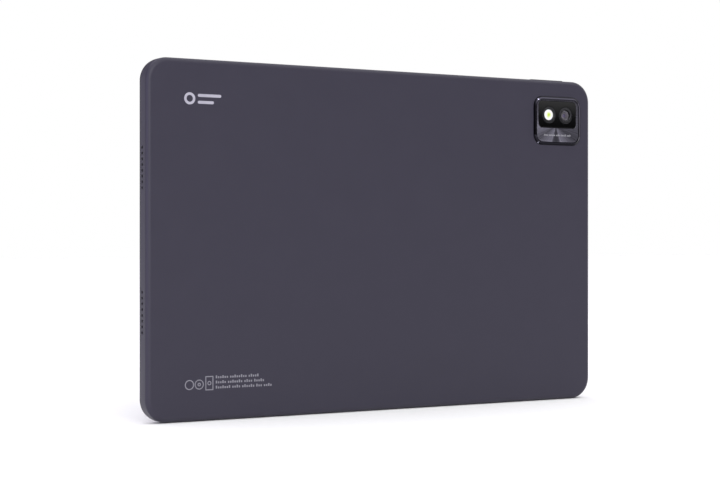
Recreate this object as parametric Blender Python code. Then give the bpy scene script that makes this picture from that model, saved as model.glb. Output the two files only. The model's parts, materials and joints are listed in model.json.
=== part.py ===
"""A 10-inch tablet computer, as it would come apart on a bench.

It stands upright on its long bottom edge: +Z is up, the screen faces -Y and the rear cover +Y.
Sizes below are in millimetres, and new_object turns them into metres. X = 0 is the middle of
the width, Y = 0 lies midway between the front glass and the camera's rim, and Z = 0 is the
bottom edge. Where two pieces meet there is a small gap, so no two of them overlap.
"""

import math

import bmesh
import bpy
from mathutils import Vector

MM = 0.001

# The whole tablet
WIDTH = 241.6
HEIGHT = 158.6
THICK = 8.3
CORNER_R = 10.2
EDGE_R = 2.2
BUMP_H = 1.0
REAR_Y = (THICK - BUMP_H) / 2
FRONT_Y = REAR_Y - THICK
MID_Z = HEIGHT / 2
SIDE_X = WIDTH / 2
GAP = 0.3
THIN_GAP = 0.1

# Rear cover: a tray of side walls round a flat back
WALL = 1.3
BACK = 1.0
INNER_EDGE_R = 1.2
WALL_FRONT_Y = FRONT_Y + 1.05
FLAT_BAND = 40.0

# Glass, its frame and the screen behind it
FRAME_INSET = 0.1
LIP_INSET = 2.3
GLASS_INSET = 2.5
GLASS_THICK = 0.7
LEDGE_INSET = 6.2
LEDGE_Y = FRONT_Y + GLASS_THICK + 0.4
TAPE_THICK = 0.2
SCREEN_SIZE = (223.0, 143.0)
SCREEN_Z = MID_Z - 1.5
LCD_THICK = 0.8
BACKLIGHT_THICK = 0.8
PLATE_Y = (-1.9, -1.5)
PLATE_INSET = WALL + GAP

# Camera bump, in the upper corner on the -X side
BUMP_X = -99.9
BUMP_Z = MID_Z + 59.2
BUMP_SIZE = (28.9, 24.1)
BUMP_CORNER_R = 5.2
BUMP_TOP_Y = REAR_Y + BUMP_H
BUMP_CHAMFER = 1.2
WINDOW_SIZE = (23.1, 13.0)
WINDOW_R = 1.9
WINDOW_X = -99.7
WINDOW_Z = MID_Z + 62.3
LENS_X = -104.7
FLASH_X = -94.5
OPTICS_Z = MID_Z + 62.1
BEZEL_R = 4.2
OPTIC_R = 2.85

# Edge openings and what works in them
SPEAKER_Y = -1.45
SPEAKER_HOLE_R = 0.7
SPEAKER_PITCH = 2.5
SPEAKER_HOLES = 8
SPEAKER_FROM_MID = 31.35
PORT_Y = 0.05
USB_Z = MID_Z
JACK_Z = MID_Z - 52.0
TRAY_Z = MID_Z - 26.0
MIC_Z = MID_Z + 16.0
POWER_Z = MID_Z + 38.0
ROCKER_X = -96.2
BUTTON_Y = -0.45
BUTTON_WIDTH = 2.0
POWER_LENGTH = 12.0
ROCKER_LENGTH = 20.2
BUTTON_PROUD = 0.4
FLANGE_PROUD = 0.7
FLANGE_THICK = 0.5
ROCKER_NUB = 8.0

# Main board, on the -X side, and the battery in the middle
BOARD_Y = (-0.3, 0.5)
BOARD_X = (-116.3, -76.0)
BOARD_Z = (8.0, 150.0)
BOARD_STEP_X = -87.0
BOARD_STEP_Z = 134.0
BOARD_SCREWS = [(-81.0, 14.0), (-81.0, 145.0), (-110.0, 38.0), (-111.0, 128.0)]
CELL_SIZE = (75.0, 128.0)
CELL_Y = (-1.2, 1.9)
CELL_X = {"a": -34.5, "b": 42.5}

# Speakers, on the +X side
BOX_X = (96.0, 118.5)
BOX_HALF_Z = 15.0
BOX_Y = (-1.95, 2.3)
CONE_X = 105.5
CONE_R = 6.6
EAR_X = 89.0
EAR_Y = (0.2, 1.0)

SCREW_HEAD_R = 1.3
SCREW_SHANK_R = 0.6
ARC_STEPS = 6
ROUND = 24


# ---- outlines and shapes: each shape is (points, faces), in millimetres ----


def rounded_rect(width, height, radius, steps=ARC_STEPS):
    """Points round a rounded rectangle about (0, 0), counter-clockwise from its +x side."""
    radius = min(max(radius, 0.2), width / 2 - 0.001, height / 2 - 0.001)
    points = []
    for quarter, (sx, sz) in enumerate(((1, 1), (-1, 1), (-1, -1), (1, -1))):
        for k in range(steps + 1):
            angle = math.radians(90 * (quarter + k / steps))
            x = sx * (width / 2 - radius) + radius * math.cos(angle)
            z = sz * (height / 2 - radius) + radius * math.sin(angle)
            points.append((x, z))
    return points


def circle(radius, count=ROUND):
    """Points round a circle about (0, 0)."""
    turns = [2 * math.pi * k / count for k in range(count)]
    return [(radius * math.cos(a), radius * math.sin(a)) for a in turns]


def ring_on(axis, outline, centre, depth):
    """An outline placed square to an axis: centre is its two other coordinates, in X, Y, Z order."""
    first, second = centre
    if axis == "X":
        return [(depth, first + a, second + b) for a, b in outline]
    if axis == "Y":
        return [(first + a, depth, second + b) for a, b in outline]
    return [(first + a, second + b, depth) for a, b in outline]


def loft(rings, hollow=False):
    """Skins a row of rings. A hollow one joins the last ring to the first, and any other is capped."""
    count = len(rings[0])
    points = [point for ring in rings for point in ring]
    faces = []
    for k in range(len(rings) if hollow else len(rings) - 1):
        low = k * count
        high = (k + 1) % len(rings) * count
        for i in range(count):
            j = (i + 1) % count
            faces.append((low + i, low + j, high + j, high + i))
    if not hollow:
        faces.append(tuple(range(count)))
        faces.append(tuple(range(len(points) - count, len(points))))
    return points, faces


def prism(axis, outline, centre, low, high):
    """An outline carried along an axis from low to high."""
    return loft([ring_on(axis, outline, centre, low), ring_on(axis, outline, centre, high)])


def turned(axis, profile, centre, hollow=False, count=ROUND):
    """A profile of (radius, depth) points turned round an axis."""
    return loft([ring_on(axis, circle(r, count), centre, d) for r, d in profile], hollow)


def block(x, y, z):
    """A box between two values on each axis."""
    outline = [(x[0], z[0]), (x[1], z[0]), (x[1], z[1]), (x[0], z[1])]
    return prism("Y", outline, (0, 0), y[0], y[1])


def chamfered(axis, size, radius, centre, low, high, chamfer):
    """A rounded plate whose two flat faces are chamfered round the edge."""
    width, height = size
    rings = []
    for inset, depth in (
        (chamfer, low),
        (0, low + chamfer),
        (0, high - chamfer),
        (chamfer, high),
    ):
        outline = rounded_rect(width - 2 * inset, height - 2 * inset, radius - inset)
        rings.append(ring_on(axis, outline, centre, depth))
    return loft(rings)


def inset_ring(size, radius, centre, inset, y):
    """A rounded rectangle facing Y, drawn in from the given size by inset."""
    outline = rounded_rect(size[0] - 2 * inset, size[1] - 2 * inset, radius - inset)
    return ring_on("Y", outline, centre, y)


def body_ring(inset, y):
    """The tablet's own outline, drawn in by inset."""
    return inset_ring((WIDTH, HEIGHT), CORNER_R, (0, MID_Z), inset, y)


def bump_ring(inset, y):
    """The camera bump's outline, drawn in by inset."""
    return inset_ring(BUMP_SIZE, BUMP_CORNER_R, (BUMP_X, BUMP_Z), inset, y)


def together(*shapes):
    """Several shapes as one, for a cutter that cuts in many places."""
    points, faces = [], []
    for more_points, more_faces in shapes:
        start = len(points)
        points += more_points
        faces += [tuple(start + i for i in face) for face in more_faces]
    return points, faces


def ribbon(path, thick, low, high, axis="Z"):
    """A flat cable: a path carried along an axis, thickened by thick."""
    left, right = [], []
    for k, here in enumerate(path):
        before = Vector(path[max(k - 1, 0)])
        after = Vector(path[min(k + 1, len(path) - 1)])
        along = (after - before).normalized()
        side = Vector((-along.y, along.x)) * thick / 2
        left.append(tuple(Vector(here) + side))
        right.append(tuple(Vector(here) - side))
    return prism(axis, left + right[::-1], (0, 0), low, high)


# ---- objects ----


def material(name, colour, roughness, metallic=0.0):
    made = bpy.data.materials.new(name)
    made.use_nodes = True
    shader = made.node_tree.nodes["Principled BSDF"]
    shader.inputs["Base Color"].default_value = (*colour, 1.0)
    shader.inputs["Roughness"].default_value = roughness
    shader.inputs["Metallic"].default_value = metallic
    made.diffuse_color = (*colour, 1.0)
    return made


def new_object(name, shape, finish=None, origin=(0, 0, 0)):
    """One closed body in metres, with its faces pointing out and its origin where it moves from."""
    points, faces = shape
    mesh = bpy.data.meshes.new(name)
    origin = Vector(origin)
    mesh.from_pydata([(Vector(p) - origin) * MM for p in points], [], faces)
    work = bmesh.new()
    work.from_mesh(mesh)
    bmesh.ops.recalc_face_normals(work, faces=work.faces)
    work.to_mesh(mesh)
    work.free()
    mesh.shade_smooth()
    mesh.set_sharp_from_angle(angle=math.radians(35))
    made = bpy.data.objects.new(name, mesh)
    made.location = origin * MM
    bpy.context.scene.collection.objects.link(made)
    if finish:
        mesh.materials.append(finish)
    return made


def boolean(target, operation, shape):
    """Cuts a shape from an object, or joins it on. The shape's own object stays hidden."""
    tool = new_object(f"{target.name}_{operation.lower()}_tool", shape)
    tool.hide_render = True
    tool.display_type = "WIRE"
    modifier = target.modifiers.new(operation.title(), "BOOLEAN")
    modifier.operation = operation
    modifier.solver = "EXACT"
    modifier.object = tool


def cut(target, *shapes):
    boolean(target, "DIFFERENCE", together(*shapes))


def add(target, *shapes):
    boolean(target, "UNION", together(*shapes))


def clear_scene():
    for old in list(bpy.data.objects):
        bpy.data.objects.remove(old)


# ---- rear cover, frame and screen ----


def speaker_centres():
    return {"upper": MID_Z + SPEAKER_FROM_MID, "lower": MID_Z - SPEAKER_FROM_MID}


def speaker_hole_cutters():
    """One drill for each hole of the two grilles in the +X wall."""
    drills = []
    half_row = (SPEAKER_HOLES - 1) / 2
    for centre in speaker_centres().values():
        for k in range(SPEAKER_HOLES):
            z = centre + (k - half_row) * SPEAKER_PITCH
            spot = (SPEAKER_Y, z)
            drill = prism("X", circle(SPEAKER_HOLE_R, 12), spot, SIDE_X - WALL - 1, SIDE_X + 1)
            drills.append(drill)
    return drills


def slot(axis, length, width, centre, low, high):
    """A slot with round ends through a wall, long along Z in an X wall and along X in the top."""
    size = (width, length) if axis == "X" else (length, width)
    return prism(axis, rounded_rect(*size, width / 2), centre, low, high)


def rear_cover(finish):
    quarter = [math.radians(90 * k / 4) for k in range(5)]
    rings = [body_ring(FLAT_BAND, REAR_Y)]
    for a in reversed(quarter):
        inset, y = EDGE_R * (1 - math.cos(a)), REAR_Y - EDGE_R * (1 - math.sin(a))
        rings.append(body_ring(inset, y))
    rings.append(body_ring(0, WALL_FRONT_Y + 0.3))
    rings.append(body_ring(0.3, WALL_FRONT_Y))
    rings.append(body_ring(WALL, WALL_FRONT_Y))
    for a in quarter:
        inset = WALL + INNER_EDGE_R * (1 - math.cos(a))
        rings.append(body_ring(inset, REAR_Y - BACK - INNER_EDGE_R * (1 - math.sin(a))))
    cover = new_object("rear_cover", loft(rings), finish)
    outside, inside = -SIDE_X - 1, -SIDE_X + WALL + 1
    top = (HEIGHT - WALL - 1, HEIGHT + 1)
    cut(
        cover,
        loft([bump_ring(0.5, REAR_Y - BACK - 1), bump_ring(0.5, REAR_Y + 1)]),
        *speaker_hole_cutters(),
        slot("X", 9.54, 3.76, (PORT_Y, USB_Z), outside, inside),
        prism("X", circle(1.85), (PORT_Y, JACK_Z), outside, inside),
        slot("X", 15.4, 2.3, (PORT_Y, TRAY_Z), outside, inside),
        prism("X", circle(0.45, 12), (PORT_Y, MIC_Z), outside, inside),
        slot("X", POWER_LENGTH + 0.5, BUTTON_WIDTH + 0.5, (BUTTON_Y, POWER_Z), outside, inside),
        slot("Z", ROCKER_LENGTH + 0.6, BUTTON_WIDTH + 0.5, (ROCKER_X, BUTTON_Y), *top),
    )
    return cover


def front_frame(finish):
    """The dark ring round the glass, with the ledge that the glass is taped to."""
    lip_top = FRONT_Y + 0.2
    profile = [
        (FRAME_INSET, WALL_FRONT_Y - 0.2),
        (PLATE_INSET, WALL_FRONT_Y - 0.2),
        (PLATE_INSET, -2.1),
        (3.0, -2.1),
        (3.0, LEDGE_Y + 0.4),
        (LEDGE_INSET, LEDGE_Y + 0.4),
        (LEDGE_INSET, LEDGE_Y),
        (LIP_INSET, LEDGE_Y),
        (LIP_INSET, lip_top),
        (FRAME_INSET + 0.15, lip_top),
        (FRAME_INSET, lip_top + 0.15),
    ]
    frame = new_object("front_frame", loft([body_ring(*p) for p in profile], True), finish)
    cut(frame, block((-3.2, 3.2), (FRONT_Y + 1, -2), (149.4, 155.4)))


def front_glass(finish):
    glass = chamfered(
        "Y",
        (WIDTH - 2 * GLASS_INSET, HEIGHT - 2 * GLASS_INSET),
        CORNER_R - GLASS_INSET,
        (0, MID_Z),
        FRONT_Y,
        FRONT_Y + GLASS_THICK,
        0.15,
    )
    new_object("front_glass", glass, finish)


def glass_tape(finish):
    low = FRONT_Y + GLASS_THICK + THIN_GAP
    high = low + TAPE_THICK
    outer, inner = GLASS_INSET + 0.2, LEDGE_INSET - 0.4
    corners = [(outer, low), (inner, low), (inner, high), (outer, high)]
    tape = new_object("glass_tape", loft([body_ring(*c) for c in corners], True), finish)
    cut(tape, block((-2.0, 2.0), (low - 1, high + 1), (150.0, 155.0)))


def screen(lcd_finish, backlight_finish):
    """The liquid crystal panel behind the glass, and the backlight behind that."""
    front = FRONT_Y + GLASS_THICK + THIN_GAP
    back = front + LCD_THICK
    lcd = prism("Y", rounded_rect(*SCREEN_SIZE, 1.0, 2), (0, SCREEN_Z), front, back)
    new_object("lcd_panel", lcd, lcd_finish)
    front = back + THIN_GAP
    size = (SCREEN_SIZE[0] - 1.0, SCREEN_SIZE[1] - 1.0)
    light = chamfered("Y", size, 1.2, (0, SCREEN_Z), front, front + BACKLIGHT_THICK, 0.2)
    new_object("backlight", light, backlight_finish)


def mid_plate(finish):
    """The stamped plate between the screen and the electronics, with the bosses for the screws."""
    plate = new_object("mid_plate", loft([body_ring(PLATE_INSET, y) for y in PLATE_Y]), finish)
    spots = [(spot, BOARD_Y[0] - GAP) for spot in BOARD_SCREWS]
    spots += [((EAR_X, z), EAR_Y[0] - GAP) for z in speaker_centres().values()]
    add(plate, *[prism("Y", circle(1.9, 16), s, PLATE_Y[0] + 0.1, top) for s, top in spots])
    through = (PLATE_Y[0] - 1, PLATE_Y[1] + 1)
    side, top = (-SIDE_X, -117.0), (153.4, HEIGHT)
    speakers = [
        block((BOX_X[0] - GAP, SIDE_X), through, (z - BOX_HALF_Z - GAP, z + BOX_HALF_Z + GAP))
        for z in speaker_centres().values()
    ]
    cut(
        plate,
        *[prism("Y", circle(0.9, 12), s, PLATE_Y[0] + 0.15, 3) for s, _ in spots],
        *speakers,
        block((-SIDE_X, -104.8), through, (JACK_Z - 3.5, JACK_Z + 3.5)),
        block((-SIDE_X, -112.6), through, (USB_Z - 5.0, USB_Z + 5.0)),
        block((-SIDE_X, -111.0), through, (62.0, 73.0)),
        block(side, through, (POWER_Z - 8, POWER_Z + 8)),
        block((ROCKER_X - 12, ROCKER_X + 12), through, top),
        block((-3.3, 3.3), through, (149.3, 155.5)),
    )


# ---- camera bump ----


def camera_rim(finish):
    """The polished frame of the bump: a chamfered flange outside, and a collar through the cover."""
    profile = [
        (0.0, REAR_Y + THIN_GAP),
        (0.0, REAR_Y + 0.3),
        (BUMP_CHAMFER, BUMP_TOP_Y),
        (1.5, BUMP_TOP_Y),
        (1.5, REAR_Y + THIN_GAP),
        (2.3, REAR_Y + THIN_GAP),
        (2.3, REAR_Y - 0.8),
        (0.8, REAR_Y - 0.8),
        (0.8, REAR_Y + THIN_GAP),
    ]
    new_object("camera_rim", loft([bump_ring(*p) for p in profile], True), finish)


def window_outline(grow):
    """The camera window's outline, grown on every side."""
    return rounded_rect(WINDOW_SIZE[0] + 2 * grow, WINDOW_SIZE[1] + 2 * grow, WINDOW_R + grow)


def camera_plate(finish):
    low, high = REAR_Y + GAP, BUMP_TOP_Y - 0.15
    plate = new_object("camera_plate", loft([bump_ring(1.65, y) for y in (low, high)]), finish)
    cut(plate, prism("Y", window_outline(0.15), (WINDOW_X, WINDOW_Z), low - 1, high + 1))


def camera_window(finish):
    low, high = REAR_Y + GAP, BUMP_TOP_Y - 0.1
    centre = (WINDOW_X, WINDOW_Z)
    window = new_object("camera_window", prism("Y", window_outline(0), centre, low, high), finish)
    holes = [
        prism("Y", circle(BEZEL_R + 0.1), (x, OPTICS_Z), low - 1, high + 1)
        for x in (LENS_X, FLASH_X)
    ]
    cut(window, *holes)


def optic_bezel(name, x, finish):
    """The ring round a lens or a flash, with a cone that leads in to it."""
    low, high = REAR_Y + GAP, BUMP_TOP_Y - 0.15
    profile = [
        (BEZEL_R, low),
        (BEZEL_R, high),
        (BEZEL_R - 0.3, high),
        (OPTIC_R + 0.15, high - 0.3),
        (OPTIC_R + 0.15, low),
    ]
    new_object(name, turned("Y", profile, (x, OPTICS_Z), hollow=True), finish)


def optic_disc(name, x, finish, crown):
    """A round glass, crowned in the middle by a few tenths of a millimetre."""
    low, edge = REAR_Y + GAP, BUMP_TOP_Y - 0.45 - crown
    profile = [(OPTIC_R, low), (OPTIC_R, edge)]
    profile += [(OPTIC_R * s, edge + crown * (1 - s * s)) for s in (0.75, 0.5, 0.2)]
    new_object(name, turned("Y", profile, (x, OPTICS_Z)), finish)


def flash_unit(board_finish, led_finish):
    half = 3.4
    x, z = (FLASH_X - half, FLASH_X + half), (OPTICS_Z - half, OPTICS_Z + half)
    new_object("flash_board", block(x, (2.0, 2.5), z), board_finish)
    led = chamfered("Y", (2.8, 2.8), 0.4, (FLASH_X, OPTICS_Z), 2.7, 3.5, 0.15)
    new_object("flash_led", led, led_finish)


def rear_camera(body_finish, lens_finish):
    """The fixed housing, and the barrel that focuses by sliding in it along Y."""
    spot = (LENS_X, OPTICS_Z)
    housing = chamfered("Y", (8.6, 8.6), 0.8, spot, -0.9, 2.4, 0.2)
    body = new_object("rear_camera_body", housing, body_finish)
    cut(body, prism("Y", circle(3.35), spot, 0.1, 3.5))
    profile = [
        (2.2, 0.5),
        (3.0, 0.8),
        (3.0, 3.3),
        (2.8, 3.5),
        (2.0, 3.5),
        (1.5, 3.1),
        (0.8, 3.25),
        (0.2, 3.28),
    ]
    barrel = turned("Y", profile, spot)
    new_object("rear_camera_lens", barrel, lens_finish, (LENS_X, 3.5, OPTICS_Z))


# ---- buttons ----


def button(name, axis, length, centre, tip, flange_top, nubs, origin, finish):
    """A cap through the wall, the flange that keeps it in, and a nub for each switch.

    tip is the cap's outer end along the axis, and flange_top the flange's outer face.
    """
    inwards = 1 if axis == "X" else -1
    cap_size = (BUTTON_WIDTH, length) if axis == "X" else (length, BUTTON_WIDTH)
    flange_size = [side + FLANGE_PROUD for side in cap_size]
    flange_back = flange_top + inwards * FLANGE_THICK
    rings = []
    for inset, depth in ((0.25, tip), (0, tip + inwards * 0.2), (0, flange_top + inwards * 0.1)):
        size = [side - 2 * inset for side in cap_size]
        rings.append(ring_on(axis, rounded_rect(*size, min(size) / 2), centre, depth))
    made = new_object(name, loft(rings), finish, origin)
    nub_ends = (flange_back - inwards * 0.1, flange_back + inwards * 0.4)
    tools = [prism(axis, rounded_rect(*flange_size, 0.6), centre, flange_top, flange_back)]
    for offset in nubs:
        spot = (centre[0], centre[1] + offset) if axis == "X" else (centre[0] + offset, centre[1])
        tools.append(prism(axis, circle(0.5, 12), spot, *nub_ends))
    for tool in tools:
        add(made, tool)


def power_button(finish):
    """Slides inwards along +X."""
    tip, flange_top = -SIDE_X - BUTTON_PROUD, -SIDE_X + WALL + 0.2
    origin = (-SIDE_X, BUTTON_Y, POWER_Z)
    centre = (BUTTON_Y, POWER_Z)
    button("power_button", "X", POWER_LENGTH, centre, tip, flange_top, [0.0], origin, finish)


def volume_rocker(finish):
    """Tips about an axis along Y through the middle of its flange."""
    tip, flange_top = HEIGHT + BUTTON_PROUD, HEIGHT - WALL - 0.4
    origin = (ROCKER_X, BUTTON_Y, flange_top - FLANGE_THICK / 2)
    centre = (ROCKER_X, BUTTON_Y)
    nubs = [-ROCKER_NUB, ROCKER_NUB]
    button("volume_rocker", "Z", ROCKER_LENGTH, centre, tip, flange_top, nubs, origin, finish)


def switches(finish, flex_finish):
    """A snap switch behind each button, on one flexible circuit bent round the corner."""
    y = (BUTTON_Y - 1.0, BUTTON_Y + 1.0)
    x = (-117.75, -117.05)
    new_object("power_switch", block(x, y, (POWER_Z - 1.5, POWER_Z + 1.5)), finish)
    z = (154.65, 155.35)
    for name, offset in (("up", ROCKER_NUB), ("down", -ROCKER_NUB)):
        middle = ROCKER_X + offset
        switch = block((middle - 1.5, middle + 1.5), y, z)
        new_object(f"volume_switch_{name}", switch, finish)
    bend = [math.radians(90 * k / 5) for k in range(6)]
    radius = 8.0
    corner = (-116.8 + radius, 154.4 - radius)
    path = [(-84.0, 154.4)]
    path += [
        (corner[0] - radius * math.sin(a), corner[1] + radius * math.cos(a)) for a in bend
    ]
    path.append((-116.8, POWER_Z - 4.0))
    new_object("button_flex", ribbon(path, 0.15, *y, axis="Y"), flex_finish)


# ---- ports ----


def usb_port(shell_finish, tongue_finish):
    """The receptacle's metal shell, closed at its back, round a thin contact tongue."""
    mouth, back = -SIDE_X + 0.3, -113.2
    spot = (PORT_Y, USB_Z)
    outer, inner = rounded_rect(3.16, 8.94, 1.58), rounded_rect(2.56, 8.34, 1.28)
    rings = [
        ring_on("X", outer, spot, back),
        ring_on("X", outer, spot, mouth),
        ring_on("X", inner, spot, mouth),
        ring_on("X", inner, spot, back - 0.4),
    ]
    new_object("usb_shell", loft(rings), shell_finish)
    tongue = chamfered("X", (0.7, 6.7), 0.2, spot, mouth + 0.9, back - 0.7, 0.1)
    new_object("usb_tongue", tongue, tongue_finish)


def headphone_jack(finish):
    x = (-SIDE_X + WALL + GAP, -105.2)
    body = block(x, (PORT_Y - 2.1, PORT_Y + 2.1), (JACK_Z - 3.1, JACK_Z + 3.1))
    jack = new_object("headphone_jack", body, finish)
    cut(jack, prism("X", circle(1.75), (PORT_Y, JACK_Z), x[0] - 1, x[1] - 0.6))


def card_slot(reader_finish, tray_finish):
    """A metal reader open at its outer end, and the tray that pulls out of it along -X."""
    reader_x = (-SIDE_X + WALL + GAP, -90.6)
    half_z, half_y = 8.0, 1.05
    y, z = (PORT_Y - half_y, PORT_Y + half_y), (TRAY_Z - half_z, TRAY_Z + half_z)
    reader = new_object("card_reader", block(reader_x, y, z), reader_finish)
    hollow_y, hollow_z = (y[0] + 0.25, y[1] - 0.25), (z[0] + 0.6, z[1] - 0.6)
    cut(reader, block((reader_x[0] - 1, reader_x[1] - 0.5), hollow_y, hollow_z))
    head_x = (-SIDE_X, -SIDE_X + 1.2)
    head = chamfered("X", (1.9, 15.0), 0.95, (PORT_Y, TRAY_Z), *head_x, 0.12)
    tray = new_object("card_tray", head, tray_finish, (-SIDE_X, PORT_Y, TRAY_Z))
    rails_x = (head_x[1] - 0.1, -91.5)
    add(tray, block(rails_x, (PORT_Y - 0.45, PORT_Y + 0.45), (TRAY_Z - 6.9, TRAY_Z + 6.9)))
    first, second = (-118.2, -102.9), (-101.9, -92.6)
    cut(
        tray,
        block(first, (PORT_Y - 2, PORT_Y + 2), (TRAY_Z - 5.6, TRAY_Z + 5.6)),
        block(second, (PORT_Y - 2, PORT_Y + 2), (TRAY_Z - 6.2, TRAY_Z + 6.2)),
        prism("X", circle(0.4, 12), (PORT_Y, TRAY_Z + 6.6), -SIDE_X - 1, -SIDE_X + 0.9),
    )


# ---- board, battery and speakers ----


def screw(name, x, z, under_head, finish):
    """A pan-head screw along Y, with a slot across its head."""
    tip = under_head - 2.0
    profile = [
        (0.3, tip),
        (SCREW_SHANK_R, tip + 0.3),
        (SCREW_SHANK_R, under_head),
        (SCREW_HEAD_R, under_head),
        (SCREW_HEAD_R, under_head + 0.4),
        (SCREW_HEAD_R - 0.3, under_head + 0.6),
    ]
    made = new_object(name, turned("Y", profile, (x, z), count=16), finish)
    deep = (under_head + 0.35, under_head + 1)
    cut(made, block((x - 0.9, x + 0.9), deep, (z - 0.2, z + 0.2)))


def main_board(finish):
    """A stepped board, open round the ports and the card reader."""
    left, right = BOARD_X
    low, high = BOARD_Z
    outline = [
        (left, low),
        (right, low),
        (right, high),
        (BOARD_STEP_X, high),
        (BOARD_STEP_X, BOARD_STEP_Z),
        (left, BOARD_STEP_Z),
    ]
    board = new_object("main_board", prism("Y", outline, (0, 0), *BOARD_Y), finish)
    through = (BOARD_Y[0] - 1, BOARD_Y[1] + 1)
    cut(
        board,
        *[prism("Y", circle(1.0, 16), spot, *through) for spot in BOARD_SCREWS],
        block((-SIDE_X, -104.8), through, (JACK_Z - 3.5, JACK_Z + 3.5)),
        block((-SIDE_X, -90.2), through, (TRAY_Z - 8.4, TRAY_Z + 8.4)),
        block((-SIDE_X, -112.8), through, (USB_Z - 4.9, USB_Z + 4.9)),
    )
    return board


def shield(name, x, z, finish):
    """A folded metal lid, open towards the board."""
    low, high = BOARD_Y[1] + 0.2, 2.1
    lid = new_object(name, block(x, (low, high), z), finish)
    cut(lid, block((x[0] + 0.2, x[1] - 0.2), (low - 1, high - 0.2), (z[0] + 0.2, z[1] - 0.2)))


def chip(name, x, z, half, finish):
    y = (BOARD_Y[1] + 0.15, BOARD_Y[1] + 1.1)
    package = chamfered("Y", (2 * half[0], 2 * half[1]), 0.3, (x, z), *y, 0.12)
    new_object(name, package, finish)


def board_parts(steel, silicon, microphone):
    shield("processor_shield", (-111.0, -79.0), (87.0, 113.5), steel)
    shield("radio_shield", (-106.0, -79.0), (116.5, 132.5), steel)
    chip("processor_chip", -103.0, 100.0, (6.5, 6.5), silicon)
    chip("memory_chip", -87.5, 100.0, (5.5, 6.5), silicon)
    mic = block((-119.2, -117.2), (PORT_Y - 0.6, PORT_Y + 0.6), (MIC_Z - 1.6, MIC_Z + 1.6))
    new_object("microphone", mic, microphone)


def battery(pouch, board_finish, flex_finish):
    """Two flat pouch cells, their protection board, and the flexible lead to the main board."""
    for name, x in CELL_X.items():
        cell = chamfered("Y", CELL_SIZE, 2.0, (x, MID_Z), *CELL_Y, 0.5)
        new_object(f"battery_cell_{name}", cell, pouch)
    strip = block((-75.4, -72.5), (-0.4, 0.4), (52.0, 106.0))
    new_object("battery_board", strip, board_finish)
    path = [(-73.2, 0.75), (-76.0, 0.95), (-79.0, 1.05), (-84.0, 1.05)]
    new_object("battery_flex", ribbon(path, 0.2, 70.0, 80.0), flex_finish)


def speaker(name, z, plastic, cone_finish, magnet_finish, mesh_finish):
    """A sound box that opens at the wall's grille, with its magnet and its moving cone."""
    box = new_object(
        f"speaker_{name}_box", block(BOX_X, BOX_Y, (z - BOX_HALF_Z, z + BOX_HALF_Z)), plastic
    )
    add(box, block((EAR_X - 2.6, BOX_X[0] + 1), EAR_Y, (z - 4, z + 4)))
    pocket_floor = -0.9
    pocket = prism("Y", circle(CONE_R + 0.4), (CONE_X, z), pocket_floor, BOX_Y[1] + 1)
    cut(box, pocket, prism("Y", circle(1.0, 16), (EAR_X, z), -1, 3))
    cut(box, block((CONE_X + 4, SIDE_X), (BOX_Y[0] + 0.25, 0.2), (z - 9.5, z + 9.5)))
    magnet = turned("Y", [(4.5, -0.6), (4.5, 0.4), (4.2, 0.6)], (CONE_X, z))
    new_object(f"speaker_{name}_magnet", magnet, magnet_finish)
    profile = [
        (CONE_R, 0.9),
        (CONE_R, 1.1),
        (CONE_R - 0.8, 1.35),
        (CONE_R - 1.6, 1.1),
        (2.0, 1.35),
        (0.3, 1.45),
    ]
    cone = turned("Y", profile, (CONE_X, z))
    new_object(f"speaker_{name}_cone", cone, cone_finish, (CONE_X, 0.9, z))
    strip = block((118.9, 119.1), (SPEAKER_Y - 0.5, SPEAKER_Y + 0.8), (z - 9.6, z + 9.6))
    new_object(f"speaker_{name}_mesh", strip, mesh_finish)


def lead(name, route, finish):
    """A thin round wire along a route of (x, y, z) points."""
    curve = bpy.data.curves.new(name, "CURVE")
    curve.dimensions = "3D"
    curve.bevel_depth = 0.4 * MM
    curve.bevel_resolution = 2
    curve.use_fill_caps = True
    spline = curve.splines.new("POLY")
    spline.points.add(len(route) - 1)
    for point, place in zip(spline.points, route):
        point.co = (*(Vector(place) * MM), 1.0)
    made = bpy.data.objects.new(name, curve)
    bpy.context.scene.collection.objects.link(made)
    curve.materials.append(finish)


def round_corner(before, corner, after, radius=4.0, steps=4):
    """Points that turn a corner of a route smoothly, without reaching it."""
    corner = Vector(corner)
    start = corner + (Vector(before) - corner).normalized() * radius
    end = corner + (Vector(after) - corner).normalized() * radius
    shares = [k / steps for k in range(steps + 1)]
    return [
        tuple(start.lerp(corner, s).lerp(corner.lerp(end, s), s)) for s in shares
    ]


def speaker_leads(finish):
    """One wire from each speaker to the main board, round the outside of the battery."""
    wire_y = 1.2
    lanes = {"upper": BOARD_Z[1] - 2.5, "lower": BOARD_Z[0] + 1.5}
    for name, z in speaker_centres().items():
        lane = lanes[name]
        inwards = 1 if name == "lower" else -1
        start = (92.5, wire_y, z - inwards * 8.0)
        bend = (92.5, wire_y, lane)
        turn = (-85.0, wire_y, lane)
        end = (turn[0], wire_y, lane + inwards * 9.0)
        route = [start]
        route += round_corner(start, bend, turn)
        route += round_corner(bend, turn, end)
        route.append(end)
        lead(f"speaker_{name}_lead", route, finish)


def small_parts(sensor_finish, flex_finish, antenna_finish):
    """The front camera behind the glass, the screen's flexible lead, and the radio's antenna."""
    spot = (0, 152.4)
    camera = chamfered("Y", (5.4, 5.2), 0.5, spot, -3.1, -0.6, 0.15)
    module = new_object("front_camera", camera, sensor_finish)
    nose = FRONT_Y + GLASS_THICK + THIN_GAP
    add(module, prism("Y", circle(1.6), spot, nose, -3.0))
    path = [(-112.1, -3.4), (-112.6, -3.1), (-112.8, -2.6), (-112.8, -1.5)]
    path += [(-112.5, -1.05), (-111.9, -0.8), (-104.0, -0.8)]
    new_object("display_flex", ribbon(path, 0.15, 62.5, 72.5), flex_finish)
    patch = block((-50.0, -12.0), (2.3, 2.45), (147.5, 154.0))
    new_object("wifi_antenna", patch, antenna_finish)


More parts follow.
